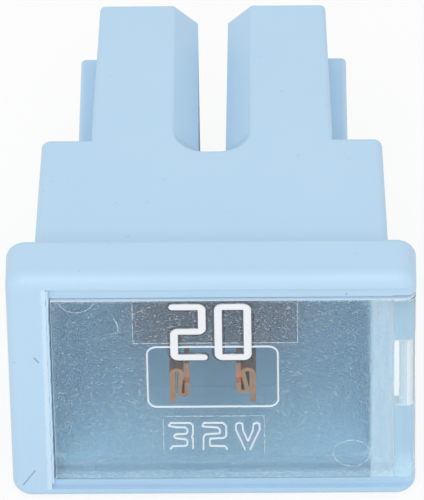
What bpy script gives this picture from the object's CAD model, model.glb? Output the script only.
"""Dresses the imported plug-in fuse: camera, light, moulded plastics, copper and raised marks."""

import math

import bpy
import numpy as np
from mathutils import Matrix, Vector


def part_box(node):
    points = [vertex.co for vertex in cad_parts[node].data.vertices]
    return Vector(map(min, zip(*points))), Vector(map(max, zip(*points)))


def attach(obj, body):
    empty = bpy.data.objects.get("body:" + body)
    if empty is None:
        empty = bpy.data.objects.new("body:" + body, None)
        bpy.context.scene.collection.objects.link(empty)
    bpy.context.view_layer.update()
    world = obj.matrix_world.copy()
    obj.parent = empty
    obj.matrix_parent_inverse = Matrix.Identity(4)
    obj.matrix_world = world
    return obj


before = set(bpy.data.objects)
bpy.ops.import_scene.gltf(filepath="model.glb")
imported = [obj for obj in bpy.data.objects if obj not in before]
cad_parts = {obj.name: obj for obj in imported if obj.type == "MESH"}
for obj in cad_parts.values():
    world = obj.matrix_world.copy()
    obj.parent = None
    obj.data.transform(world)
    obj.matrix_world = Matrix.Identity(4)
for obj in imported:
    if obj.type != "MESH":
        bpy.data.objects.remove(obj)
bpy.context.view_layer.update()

# Camera. A long lens looks down on the window face of the fuse from the front. Its distance
# from the middle of that face, and how far right of and above the line of sight the middle
# lies, are in millimetres. The sensor, also in millimetres, spans the height of the frame.
MM = 0.001
CAMERA_PITCH = math.radians(43.297)
CAMERA_TURN = math.radians(-0.929)
CAMERA_ROLL = math.radians(0.998)
CAMERA_DISTANCE = 423.106
CAMERA_SHIFT = (0.022, -7.160)
FOCAL_PIXELS = 8283.0
FRAME_HEIGHT_PIXELS = 500
SENSOR = 36.0
window_low, window_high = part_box("window_cover")
housing_low, housing_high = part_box("housing")
FACE_Y = housing_low.y
MIDDLE_Z = (housing_low.z + housing_high.z) / 2

turn = Matrix.Rotation(CAMERA_TURN, 3, "Z")
level = Matrix((
    (1, 0, 0),
    (0, math.sin(CAMERA_PITCH), math.cos(CAMERA_PITCH)),
    (0, math.cos(CAMERA_PITCH), -math.sin(CAMERA_PITCH)),
))
roll = Matrix.Rotation(CAMERA_ROLL, 3, "Z")
right, up, ahead = roll @ level @ turn
place = -(right * CAMERA_SHIFT[0] + up * CAMERA_SHIFT[1] + ahead * CAMERA_DISTANCE) * MM
camera_data = bpy.data.cameras.new("camera")
camera_data.sensor_width = SENSOR
camera_data.lens = FOCAL_PIXELS * SENSOR / FRAME_HEIGHT_PIXELS
camera_data.clip_start = 0.01
camera_data.clip_end = 10.0
camera = bpy.data.objects.new("camera", camera_data)
camera.matrix_world = Matrix.Translation(place + Vector((0, FACE_Y, MIDDLE_Z))) @ Matrix(
    (right, up, -ahead)).transposed().to_4x4()
bpy.context.scene.collection.objects.link(camera)
bpy.context.scene.camera = camera


# Floor and light. A pale level floor under the flange, an even white surround as in a light
# tent, and one wide soft lamp above the camera that only tells the faces apart.
class Wire:
    """One output of a node tree. Sums, products and powers of wires add Math nodes."""

    def __init__(self, tree, socket):
        self.tree = tree
        self.socket = socket

    def math(self, operation, *values):
        node = self.tree.nodes.new("ShaderNodeMath")
        node.operation = operation
        for slot, value in zip(node.inputs, values):
            join(self.tree, slot, value)
        return Wire(self.tree, node.outputs[0])

    def __add__(self, other):
        return self.math("ADD", self, other)

    __radd__ = __add__

    def __sub__(self, other):
        return self.math("SUBTRACT", self, other)

    def __rsub__(self, other):
        return self.math("SUBTRACT", other, self)

    def __mul__(self, other):
        return self.math("MULTIPLY", self, other)

    __rmul__ = __mul__

    def __truediv__(self, other):
        return self.math("DIVIDE", self, other)

    def __pow__(self, other):
        return self.math("POWER", self, other)

    def least(self, other):
        return self.math("MINIMUM", self, other)

    def most(self, other):
        return self.math("MAXIMUM", self, other)

    def step(self, start, end):
        """0 before start, 1 past end, smooth between."""
        node = self.tree.nodes.new("ShaderNodeMapRange")
        node.interpolation_type = "SMOOTHSTEP"
        join(self.tree, node.inputs["Value"], self)
        node.inputs["From Min"].default_value = start
        node.inputs["From Max"].default_value = end
        return Wire(self.tree, node.outputs[0])

    def past(self, edge, soft):
        """1 past an edge and 0 before it, smooth for a distance of soft on both sides."""
        return self.step(edge - soft, edge + soft)

    def within(self, low, high, soft=0.02):
        """1 between low and high, 0 outside, with soft edges."""
        return self.past(low, soft) * (1 - self.past(high, soft))


def join(tree, slot, value):
    """Links a wire to a socket, or sets the socket to a plain value."""
    if isinstance(value, Wire):
        tree.links.new(value.socket, slot)
    else:
        slot.default_value = value


class Finish:
    """The node tree of one material or world, with one call that adds any node."""

    def __init__(self, owner):
        owner.use_nodes = True
        self.owner = owner
        self.tree = owner.node_tree
        self.tree.nodes.clear()

    def node(self, kind, sockets=(), output=0, **settings):
        node = self.tree.nodes.new("ShaderNode" + kind)
        for name, value in settings.items():
            setattr(node, name, value)
        for name, value in dict(sockets).items():
            join(self.tree, node.inputs[name], value)
        return Wire(self.tree, node.outputs[output])

    def place(self):
        """Object coordinates in millimetres."""
        here = self.node("TexCoord", output="Object")
        return self.node("VectorMath", {0: here, "Scale": 1 / MM}, operation="SCALE")

    def axes(self, spot):
        """How far a place lies across, along, and above the middle plane of the fuse."""
        node = self.tree.nodes.new("ShaderNodeSeparateXYZ")
        join(self.tree, node.inputs[0], spot)
        across, along, height = [Wire(self.tree, output) for output in node.outputs]
        return across, along, height - MIDDLE_Z / MM

    def mix(self, factor, first, second):
        """A colour that goes from first to second."""
        node = self.tree.nodes.new("ShaderNodeMix")
        node.data_type = "RGBA"
        join(self.tree, node.inputs[0], factor)
        join(self.tree, node.inputs[6], first)
        join(self.tree, node.inputs[7], second)
        return Wire(self.tree, node.outputs[2])

    def noise(self, place, scale, detail=2.0, roughness=0.5):
        """Noise from 0 to 1 with a scale in features per millimetre."""
        return self.node("TexNoise", {
            "Vector": place, "Scale": scale, "Detail": detail, "Roughness": roughness})

    def bump(self, height, distance, strength=1.0):
        """A normal from a height of 0 to 1 that stands for a distance in metres."""
        return self.node("Bump", {"Height": height, "Distance": distance, "Strength": strength})

    def streak(self, across, rise, start, end, half):
        """1 on a straight streak from start to end in the plane of across and rise, 0 beyond half.

        The distance is that to the point at a share t of the way, t being the clamped
        projection of the place on the run of the streak.
        """
        run = (end[0] - start[0], end[1] - start[1])
        length = math.hypot(*run)
        share = ((across - start[0]) * run[0] + (rise - start[1]) * run[1]) / length ** 2
        share = share.most(0.0).least(1.0)
        aside = across - start[0] - share * run[0]
        above = rise - start[1] - share * run[1]
        return 1 - ((aside * aside + above * above) ** 0.5).step(half * 0.4, half)

    def close(self, shader, kind="ShaderNodeOutputMaterial"):
        """Ends the tree with a shader and hands back its material or world."""
        join(self.tree, self.tree.nodes.new(kind).inputs["Surface"], shader)
        return self.owner


def seen_white(finish, shader, share):
    """Mixes a share of white into what the camera, a gloss or a clear piece sees of a surround."""
    rays = finish.tree.nodes.new("ShaderNodeLightPath")
    seen = Wire(finish.tree, rays.outputs["Is Camera Ray"])
    for name in ("Is Glossy Ray", "Is Transmission Ray"):
        seen = seen.most(Wire(finish.tree, rays.outputs[name]))
    white = finish.node("Emission", {"Color": (1, 1, 1, 1), "Strength": 1.0})
    return finish.node("MixShader", {0: seen * share, 1: shader, 2: white})


FLOOR_HALF = 2.0
FLOOR_COLOUR = (0.9, 0.9, 0.9, 1)
FLOOR_WHITE = 0.85
floor_mesh = bpy.data.meshes.new("floor")
floor_mesh.from_pydata(
    [(x * FLOOR_HALF, y * FLOOR_HALF, 0.0) for x, y in ((-1, -1), (1, -1), (1, 1), (-1, 1))],
    [], [(0, 1, 2, 3)])
floor = bpy.data.objects.new("floor", floor_mesh)
bpy.context.scene.collection.objects.link(floor)
floor_finish = Finish(bpy.data.materials.new("pale_floor"))
floor_shader = floor_finish.node("BsdfDiffuse", {"Color": FLOOR_COLOUR})
floor_mesh.materials.append(
    floor_finish.close(seen_white(floor_finish, floor_shader, FLOOR_WHITE)))

SURROUND_STRENGTH = 0.77
world = bpy.data.worlds.new("surround")
bpy.context.scene.world = world
world_finish = Finish(world)
surround = world_finish.node(
    "Background", {"Color": (1, 1, 1, 1), "Strength": SURROUND_STRENGTH})
world_finish.close(seen_white(world_finish, surround, 1.0), "ShaderNodeOutputWorld")


def softbox(name, spot, aim, size, watts):
    """A square lamp at a spot, turned to an aim, in metres and watts."""
    data = bpy.data.lights.new(name, "AREA")
    data.size = size
    data.energy = watts
    lamp = bpy.data.objects.new(name, data)
    facing = (Vector(aim) - Vector(spot)).to_track_quat("-Z", "Y").to_matrix().to_4x4()
    lamp.matrix_world = Matrix.Translation(spot) @ facing
    bpy.context.scene.collection.objects.link(lamp)


softbox("key_lamp", spot=(-0.05, -0.36, 0.4), aim=(0, 0, 0.01), size=0.4, watts=0.97)
bpy.context.scene.view_settings.view_transform = "Standard"

# Housing. One light blue satin moulding with a fine mould grain and faint flow shading. The
# edges of its recess and its notch are paler. Its face has a nick, a scratch and two specks,
# each given by its start, its end and half its width.
HOUSING_FACE = FACE_Y / MM
BORDER_EDGE = -8.37
RECESS_TOP = 7.1
RECESS_DEPTH = 0.3
NOTCH_X = 9.2
NOTCH_RISE = (-2.15, 2.45)
NOTCH_DEEP = HOUSING_FACE + 1.7
SCARS = (
    ((-9.04, 2.34), (-8.84, 2.04), 0.07), ((-9.86, -6.76), (-9.22, -5.73), 0.06),
    ((-10.08, 1.95), (-10.06, 1.94), 0.05), ((6.86, 6.44), (6.87, 6.45), 0.07))
HOUSING_BLUE = (0.46, 0.665, 0.85, 1)
FLOW_BLUE = (0.49, 0.695, 0.875, 1)
SPECK_BLUE = (0.33, 0.47, 0.62, 1)
LIP_BLUE = (0.68, 0.84, 0.97, 1)
NOTCH_BLUE = (0.82, 0.91, 0.98, 1)
SCAR_BLUE = (0.16, 0.30, 0.45, 1)
PLASTIC_IOR = 1.49


def dress(piece, material):
    """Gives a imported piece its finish."""
    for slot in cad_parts[piece].material_slots:
        slot.material = material


housing_finish = Finish(bpy.data.materials.new("housing_blue_moulding"))
spot = housing_finish.place()
across, along, rise = housing_finish.axes(spot)
on_face = 1 - along.past(HOUSING_FACE + RECESS_DEPTH + 0.075, 0.025)
flow = housing_finish.noise(spot, 0.16, 3.0)
grain = housing_finish.noise(spot, 9.0)
specks = housing_finish.noise(spot, 2.6, 1.0).step(0.74, 0.80)
ragged = housing_finish.noise(spot, 3.0, 3.0, 0.7)
left_lip = (across + ragged * 0.2).within(BORDER_EDGE - 0.12, BORDER_EDGE + 0.2, 0.08)
left_lip = left_lip * rise.within(-RECESS_TOP, RECESS_TOP)
top_lip = 1 - rise.step(RECESS_TOP - 0.02, RECESS_TOP + 0.04)
top_lip = top_lip * rise.step(RECESS_TOP - 0.3, RECESS_TOP)
top_lip = top_lip * across.step(BORDER_EDGE - 0.1, BORDER_EDGE)
lip = left_lip.most(top_lip) * on_face
notch = across.past(NOTCH_X, 0.05) * along.step(NOTCH_DEEP, NOTCH_DEEP + 0.05)
notch = notch * rise.within(NOTCH_RISE[0] - 0.05, NOTCH_RISE[1] + 0.05)
blue = housing_finish.mix(flow, HOUSING_BLUE, FLOW_BLUE)
blue = housing_finish.mix(specks * 0.25, blue, SPECK_BLUE)
blue = housing_finish.mix(lip * 0.6, blue, LIP_BLUE)
blue = housing_finish.mix(notch * 0.7, blue, NOTCH_BLUE)
for start, end, half in SCARS:
    scar = housing_finish.streak(across, rise, start, end, half)
    blue = housing_finish.mix(scar * on_face * 0.7, blue, SCAR_BLUE)
housing_material = housing_finish.close(housing_finish.node("BsdfPrincipled", {
    "Base Color": blue,
    "Roughness": 0.36 + grain * 0.12 - specks * 0.05,
    "IOR": PLASTIC_IOR,
    "Normal": housing_finish.bump(grain * 0.6 + flow * 0.4, 0.00001, 0.5),
}))
dress("housing", housing_material)

# Window cover. One clear moulding that slides in between the rails, frosted by a fine grain
# in the mould all over its face but for a polished pane in the middle. The grain is coarser
# in the insert round the digits, and the legs beside the catch bend the light very little.
FACE = window_low.y / MM
FACE_SKIN = 0.2
PANE_X = (-3.30, 3.36)
PANE_RISE = (-1.24, 3.01)
INSERT_X = (-4.0, 4.37)
INSERT_FOOT = 3.27
PLATE_X = (window_low.x / MM, window_high.x / MM)
PLATE_RISE = (-6.49, 6.19)
PLATE_BACK = FACE + 1.39
BLOCK_BACK = FACE + 1.69
BLOCK_X = NOTCH_X
OPENING_END = 8.1
OPENING_RISE = (-5.58, 5.42)
PATCH_RISE = (-1.3, 3.35)
GRAIN_RISE = (-3.0, 6.0)
CLEAR = (0.84, 0.98, 1.0, 1)
INSERT_TINT = (0.72, 0.69, 0.70, 1)
LEDGE_TINT = (0.54, 0.64, 0.70, 1)
PIT_TINT = (0.30, 0.48, 0.58, 1)
FOOT_TINT = (0.12, 0.17, 0.23, 1)
PALE = (0.92, 0.96, 0.99, 1)
PALE_BLUE = (0.70, 0.82, 0.92, 1)
SHADOW_TINT = (0.9, 0.95, 0.97, 1)
cover_finish = Finish(bpy.data.materials.new("window_clear_moulding"))
spot = cover_finish.place()
across, along, rise = cover_finish.axes(spot)
on_face = 1 - along.past(FACE + FACE_SKIN, 0.05)
at_back = along.step(PLATE_BACK - 0.05, PLATE_BACK - 0.02)
end_block = across.past(BLOCK_X, 0.1)
past_opening = across.past(OPENING_END, 0.1)
coarse = across.within(*INSERT_X) * rise.past(INSERT_FOOT, 0.02)
upper = rise.step(*GRAIN_RISE)
frost = on_face * (1 - across.within(*PANE_X) * rise.within(*PANE_RISE)) * (1 - end_block * 0.9)
grain = cover_finish.noise(spot, 8.0, roughness=0.7)
sparkle = cover_finish.noise(spot, 10.0, 1.0).step(0.60, 0.70)
pits = cover_finish.noise(spot, 7.0, 1.0).step(0.56, 0.68) * frost
drawn_out = cover_finish.node(
    "VectorMath", {0: spot, 1: (2.5, 1.0, 0.3)}, operation="MULTIPLY")
drawn = cover_finish.noise(drawn_out, 1.0)

# Its clear body is tinted where the grain is coarse or pitted, over the ledge of the opening,
# and dark along its foot, where it meets the lower rail.
ledge = (1 - rise.within(*OPENING_RISE, 0.06)) * (1 - past_opening) * at_back
foot_line = 1 - rise.step(PLATE_RISE[0] + 0.06, PLATE_RISE[0] + 0.11)
foot_line = on_face * foot_line * (1 - past_opening)
tint = cover_finish.mix(coarse * on_face, CLEAR, INSERT_TINT)
tint = cover_finish.mix(ledge, tint, LEDGE_TINT)
tint = cover_finish.mix(pits * (0.35 + coarse * 0.35), tint, PIT_TINT)
tint = cover_finish.mix(foot_line, tint, FOOT_TINT)
relief = grain * frost * (0.5 + upper * 0.5 + coarse * 0.3)
clear_body = cover_finish.node("BsdfPrincipled", {
    "Base Color": tint,
    "Transmission Weight": 1.0,
    "IOR": PLASTIC_IOR,
    "Roughness": 0.03 + frost * (0.08 + grain * 0.12 + coarse * 0.05),
    "Normal": cover_finish.bump(relief, 0.00008, 0.9),
})

# It looks milky on its cut edges, at the seam and the step of the end block, in streaks past
# the opening, in the sparkles of the grain, and on a patch of the round end.
top_edge = rise.past(PLATE_RISE[1] - 0.02, 0.01)
left_edge = 1 - across.past(PLATE_X[0] + 0.05, 0.02)
haze = past_opening * on_face * (0.2 + drawn * 0.35) * (1 - end_block * 0.5)
seam = across.within(BLOCK_X - 0.03, BLOCK_X + 0.01, 0.01) * on_face
block_step = across.within(BLOCK_X - 0.02, BLOCK_X + 0.12)
block_step = block_step * along.step(PLATE_BACK - 0.1, PLATE_BACK - 0.05)
patch = across.step(PLATE_X[1] - 0.5, PLATE_X[1] - 0.4) * rise.within(*PATCH_RISE, 0.04)
milky = (top_edge * 0.9).most(left_edge * 0.4).most(haze)
milky = milky.most(block_step * 0.6).most(seam * 0.35).most(patch * on_face * 0.7)
milky = milky.most(sparkle * frost * (0.22 + coarse * 0.1))
milky_skin = cover_finish.node("BsdfPrincipled", {
    "Base Color": cover_finish.mix(top_edge.most(haze * 2.5), PALE, PALE_BLUE),
    "Roughness": 0.4,
    "IOR": PLASTIC_IOR,
})
leg = rise.within(*NOTCH_RISE) * along.past(BLOCK_BACK - 0.08, 0.02) * across.past(BLOCK_X, 0.02)
cover_shader = cover_finish.node("MixShader", {0: milky, 1: clear_body, 2: milky_skin})
cover_shader = cover_finish.node("MixShader", {
    0: leg * 0.85, 1: cover_shader, 2: cover_finish.node("BsdfTransparent")})
cover_material = cover_finish.close(cover_finish.node("MixShader", {
    0: cover_finish.node("LightPath", output="Is Shadow Ray"),
    1: cover_shader,
    2: cover_finish.node("BsdfTransparent", {"Color": SHADOW_TINT}),
}))
dress("window_cover", cover_material)

# Fuse element. One strip of bare copper, stamped, folded over in front and rolled into
# receptacles behind, dulled by a thin skin of oxide.
DULL_COPPER = (0.60, 0.24, 0.13, 1)
BRIGHT_COPPER = (0.78, 0.37, 0.23, 1)
copper_finish = Finish(bpy.data.materials.new("element_bare_copper"))
spot = copper_finish.place()
stain = copper_finish.noise(spot, 0.9, 3.0, 0.6)
brush = copper_finish.noise(spot, 14.0)
copper_material = copper_finish.close(copper_finish.node("BsdfPrincipled", {
    "Base Color": copper_finish.mix(stain, DULL_COPPER, BRIGHT_COPPER),
    "Metallic": 1.0,
    "Roughness": 0.34 + stain * 0.14,
    "Normal": copper_finish.bump(brush, 0.000004, 0.5),
}))
dress("fuse_element", copper_material)

# Rating digits. Two raised figures moulded in the face of the cover and printed white,
# with round stroke ends and rounded outer corners.
NEARLY_STRAIGHT = 0.02
CAP_RINGS = 6
CAP_START = 0.06


def rounded(points, radius, closed=False, steps=6):
    """A path of straight runs whose corners are arcs of a radius, as an (n, 2) array.

    At a corner between unit directions a and b the arc starts radius * tan(angle / 2)
    before the corner, and its centre lies a radius to the inner side of the path.
    """
    points = np.array(points, float)
    count = len(points)
    path = []
    for index in range(count):
        here = points[index]
        if not closed and index in (0, count - 1):
            path.append(here[None])
            continue
        before = here - points[index - 1]
        after = points[(index + 1) % count] - here
        before /= np.linalg.norm(before)
        after /= np.linalg.norm(after)
        angle = math.atan2(before[0] * after[1] - before[1] * after[0], before @ after)
        if abs(angle) < NEARLY_STRAIGHT:
            path.append(here[None])
            continue
        side = math.copysign(1, angle)
        start = here - before * radius * math.tan(abs(angle) / 2)
        centre = start + side * radius * np.array((-before[1], before[0]))
        sweep = np.linspace(0, angle, steps)
        spoke = start - centre
        path.append(centre + np.stack((
            spoke[0] * np.cos(sweep) - spoke[1] * np.sin(sweep),
            spoke[0] * np.sin(sweep) + spoke[1] * np.cos(sweep)), 1))
    return np.concatenate(path)


def raised(name, strokes, material, half_top, wall, height, sink):
    """Raised strokes on the face of the cover, each a trapezium carried along its path.

    A point of a stroke is path + n * u, with n the path's left normal and u across the
    trapezium from -(half_top + wall) to half_top + wall. It stands at height over the face
    for |u| <= half_top and falls to sink below it beyond. An open stroke ends in a half
    round: with w the whole half width, the ring at an angle a sits cos(a) * w past the end
    and its width is scaled by sin(a).
    """
    vertices = []
    faces = []
    start = 0
    profile_u = np.array((-1, -1, 1, 1)) * half_top + np.array((-1, 0, 0, 1)) * wall
    profile_h = np.array((-sink, height, height, -sink))
    for path, closed in strokes:
        ahead = np.roll(path, -1, 0) - path
        behind = path - np.roll(path, 1, 0)
        if not closed:
            ahead[-1] = behind[-1]
            behind[0] = ahead[0]
        ahead /= np.linalg.norm(ahead, axis=1)[:, None]
        behind /= np.linalg.norm(behind, axis=1)[:, None]
        tangent = ahead + behind
        tangent /= np.linalg.norm(tangent, axis=1)[:, None]
        normal = np.stack((-tangent[:, 1], tangent[:, 0]), 1)
        spread = 1 / np.maximum((normal * np.stack((-ahead[:, 1], ahead[:, 0]), 1)).sum(1), 0.5)
        if not closed:
            turn_in = np.linspace(CAP_START, math.pi / 2, CAP_RINGS + 1)[:-1]
            full = half_top + wall
            head = path[0] - tangent[0] * full * np.cos(turn_in)[:, None]
            tail = path[-1] + tangent[-1] * full * np.cos(turn_in[::-1])[:, None]
            path = np.concatenate((head, path, tail))
            normal = np.concatenate((
                np.repeat(normal[:1], CAP_RINGS, 0), normal, np.repeat(normal[-1:], CAP_RINGS, 0)))
            spread = np.concatenate((np.sin(turn_in), spread, np.sin(turn_in[::-1])))
        rings = len(path)
        flat = path[:, None] + normal[:, None] * (profile_u[None] * spread[:, None])[..., None]
        points = np.empty((rings, 4, 3))
        points[..., 0] = flat[..., 0]
        points[..., 1] = FACE - profile_h
        points[..., 2] = flat[..., 1] + MIDDLE_Z / MM
        vertices.append(points.reshape(-1, 3) * MM)
        ring = np.arange(rings if closed else rings - 1)
        other = (ring + 1) % rings
        for side in range(4):
            beside = (side + 1) % 4
            faces.append(np.stack((
                ring * 4 + side, other * 4 + side, other * 4 + beside, ring * 4 + beside), 1)
                + start)
        if not closed:
            faces.append(np.array([[0, 1, 2, 3]]) + start)
            faces.append(np.array([[3, 2, 1, 0]]) + start + (rings - 1) * 4)
        start += rings * 4
    mesh = bpy.data.meshes.new(name)
    mesh.from_pydata(np.concatenate(vertices).tolist(), [], np.concatenate(faces).tolist())
    mesh.materials.append(material)
    piece = bpy.data.objects.new(name, mesh)
    bpy.context.scene.collection.objects.link(piece)
    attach(piece, "root")


WORN_WHITE = (0.80, 0.83, 0.87, 1)
PRINT_WHITE = (0.88, 0.90, 0.92, 1)
print_finish = Finish(bpy.data.materials.new("rating_white_print"))
worn = print_finish.noise(print_finish.place(), 5.0, 3.0, 0.6)
print_material = print_finish.close(print_finish.node("BsdfPrincipled", {
    "Base Color": print_finish.mix(worn, WORN_WHITE, PRINT_WHITE),
    "Roughness": 0.45 + worn * 0.2,
    "Normal": print_finish.bump(worn, 0.00001, 0.4),
}))

DIGIT_TOP = 5.83
DIGIT_FOOT = 2.30
DIGIT_CORNER = 0.22
TWO_LEFT = -1.91
TWO_RIGHT = -0.48
TWO_WAIST = (DIGIT_TOP + DIGIT_FOOT) / 2 + 0.05
ZERO_LEFT = 0.345
ZERO_RIGHT = 1.83
two = rounded([
    (TWO_LEFT - 0.03, DIGIT_TOP), (TWO_RIGHT, DIGIT_TOP), (TWO_RIGHT, TWO_WAIST),
    (TWO_LEFT, TWO_WAIST), (TWO_LEFT, DIGIT_FOOT), (TWO_RIGHT + 0.05, DIGIT_FOOT)],
    DIGIT_CORNER)
zero = rounded([
    (ZERO_LEFT, DIGIT_TOP), (ZERO_RIGHT, DIGIT_TOP), (ZERO_RIGHT, DIGIT_FOOT),
    (ZERO_LEFT, DIGIT_FOOT)], DIGIT_CORNER, closed=True)
digits = [(two, False), (zero, True)]
raised("rating_digits", digits, print_material, half_top=0.185, wall=0.03, height=0.06, sink=0.02)

# Digit walls. Clear sloping walls round the foot of the digits, moulded in one with the
# cover, which look dark because they bend away the light from inside.
WALL_DARK = (0.05, 0.06, 0.08, 1)
WALL_BLUE = (0.16, 0.20, 0.25, 1)
wall_finish = Finish(bpy.data.materials.new("rating_dark_walls"))
smear = wall_finish.noise(wall_finish.place(), 3.0)
dark_wall = wall_finish.node("BsdfPrincipled", {
    "Base Color": wall_finish.mix(smear, WALL_DARK, WALL_BLUE),
    "Roughness": 0.2 + smear * 0.2,
    "IOR": PLASTIC_IOR,
})
wall_material = wall_finish.close(wall_finish.node("MixShader", {
    0: 0.2 + smear.step(0.3, 0.6) * 0.35,
    1: wall_finish.node("BsdfTransparent"),
    2: dark_wall,
}))
raised("digit_walls", digits, wall_material, half_top=0.21, wall=0.12, height=0.03, sink=0.01)

# Pane rim and voltage mark. Low ribs moulded in the clear face, round the polished pane and
# under it. Their edges catch the light.
RIM_CORNER = 0.5
RIB_BLUE = (0.72, 0.82, 0.90, 1)
RIB_WHITE = (0.82, 0.90, 0.96, 1)
rib_finish = Finish(bpy.data.materials.new("window_bright_relief"))
cloud = rib_finish.noise(rib_finish.place(), 4.0)
rib_material = rib_finish.close(rib_finish.node("BsdfPrincipled", {
    "Base Color": rib_finish.mix(cloud, RIB_BLUE, RIB_WHITE),
    "Roughness": 0.3 + cloud * 0.15,
    "IOR": PLASTIC_IOR,
    "Normal": rib_finish.bump(cloud, 0.00001, 0.3),
}))
rim = rounded([
    (PANE_X[0], PANE_RISE[1]), (PANE_X[1], PANE_RISE[1]), (PANE_X[1], PANE_RISE[0]),
    (PANE_X[0], PANE_RISE[0])], RIM_CORNER, closed=True, steps=12)
raised("pane_rim", [(rim, True)], rib_material, half_top=0.025, wall=0.035, height=0.05, sink=0.02)

# The outlines of the three glyphs of the voltage mark, each drawn in two open strokes.
MARK_CORNER = 0.06
GLYPH_THREE = (
    [(-2.27, -2.57), (-2.17, -2.39), (-1.17, -2.4), (-1.03, -2.58), (-1.04, -3.25),
     (-1.11, -3.39), (-1.04, -3.53), (-1.05, -4.22)],
    [(-2.22, -2.62), (-1.9, -2.71), (-1.43, -2.72), (-1.32, -2.85), (-1.32, -3.08),
     (-1.41, -3.19), (-1.91, -3.21), (-2.02, -3.35), (-1.92, -3.5), (-1.41, -3.57),
     (-1.33, -3.69), (-1.33, -3.94), (-1.42, -4.04), (-2.1, -4.07), (-2.2, -4.26)])
GLYPH_TWO = (
    [(-0.55, -2.6), (-0.46, -2.4), (0.51, -2.41), (0.67, -2.63), (0.67, -3.35),
     (0.52, -3.5), (-0.17, -3.54), (-0.18, -4.06), (0.6, -4.08), (0.69, -4.29)],
    [(-0.51, -2.66), (0.25, -2.75), (0.35, -2.9), (0.35, -3.16), (-0.37, -3.22),
     (-0.5, -3.41), (-0.51, -4.28)])
GLYPH_VEE = (
    [(1.62, -4.32), (1.16, -2.87), (1.2, -2.49), (1.36, -2.4), (1.51, -2.49), (1.53, -2.95),
     (1.76, -3.67)],
    [(1.81, -3.7), (2.04, -2.95), (2.08, -2.49), (2.23, -2.41), (2.38, -2.5), (2.4, -2.88),
     (1.9, -4.32)])
mark = [
    (rounded(stroke, MARK_CORNER), False)
    for glyph in (GLYPH_THREE, GLYPH_TWO, GLYPH_VEE) for stroke in glyph]
raised("voltage_mark", mark, rib_material, half_top=0.028, wall=0.03, height=0.055, sink=0.02)

# Witness lines and ejector rings. Faint ridges that the inserts and the round ejector pins
# of the mould left in the clear face, broken here and there.
LINE_CORNER = 0.05
LINE_TINT = (0.74, 0.85, 0.92, 1)
PLATE_TOP = PLATE_RISE[1] - 0.12
VOLTAGE_X = (-2.55, 2.63)
VOLTAGE_RISE = (-4.64, -1.93)
RING_RADIUS = 0.94
FULL_RING = (7.12, -4.66)
LOW_RING = (-6.84, 6.40)
line_finish = Finish(bpy.data.materials.new("window_faint_relief"))
broken = line_finish.noise(line_finish.place(), 2.5)
faint = line_finish.node("BsdfPrincipled", {
    "Base Color": LINE_TINT,
    "Roughness": 0.3 + broken * 0.2,
    "IOR": PLASTIC_IOR,
})
line_material = line_finish.close(line_finish.node("MixShader", {
    0: 0.25 + broken.step(0.35, 0.6) * 0.45,
    1: line_finish.node("BsdfTransparent"),
    2: faint,
}))
lines = [
    (rounded([(INSERT_X[0], PLATE_TOP), (INSERT_X[0], INSERT_FOOT), (INSERT_X[1], INSERT_FOOT),
              (INSERT_X[1], PLATE_TOP)], LINE_CORNER), False),
    (rounded([(VOLTAGE_X[0], VOLTAGE_RISE[0]), (VOLTAGE_X[0], VOLTAGE_RISE[1]),
              (VOLTAGE_X[1], VOLTAGE_RISE[1]), (VOLTAGE_X[1], VOLTAGE_RISE[0])],
             LINE_CORNER), False)]
raised("insert_witness_lines", lines, line_material, half_top=0.01, wall=0.015, height=0.02,
       sink=0.01)


def circle(centre, angles):
    """Points a ring's radius from a centre, at centre + radius * (cos, sin) of each angle."""
    return np.array(centre) + RING_RADIUS * np.stack((np.cos(angles), np.sin(angles)), 1)


full_turn = np.linspace(0, 2 * math.pi, 48, endpoint=False)
low_arc = np.linspace(math.radians(200), math.radians(340), 24)
rings = [(circle(FULL_RING, full_turn), True), (circle(LOW_RING, low_arc), False)]
raised("ejector_rings", rings, line_material, half_top=0.008, wall=0.014, height=0.02, sink=0.01)

# Scratch. A hooked score in the face of the cover, left by handling, whose raised edges
# catch the light.
SCRATCH = [(-4.95, 5.04), (-4.76, 4.58), (-4.74, 4.08), (-5.05, 3.95)]
scratch = rounded(SCRATCH, 0.08)
raised("cover_scratch", [(scratch, False)], line_material, half_top=0.01, wall=0.02, height=0.02,
       sink=0.01)

# Recess flash. A thin wavy bead of the housing's own plastic along the left edge of the
# recess, squeezed out where two parts of the mould met.
flash_rise = np.linspace(-6.6, 6.9, 90)
flash_x = BORDER_EDGE + 0.06 + 0.02 * np.sin(flash_rise * 2.3) * np.cos(flash_rise * 5.1)
flash = np.stack((flash_x, flash_rise), 1)
raised("recess_flash", [(flash, False)], housing_material, half_top=0.06, wall=0.05, height=0.03,
       sink=0.25)
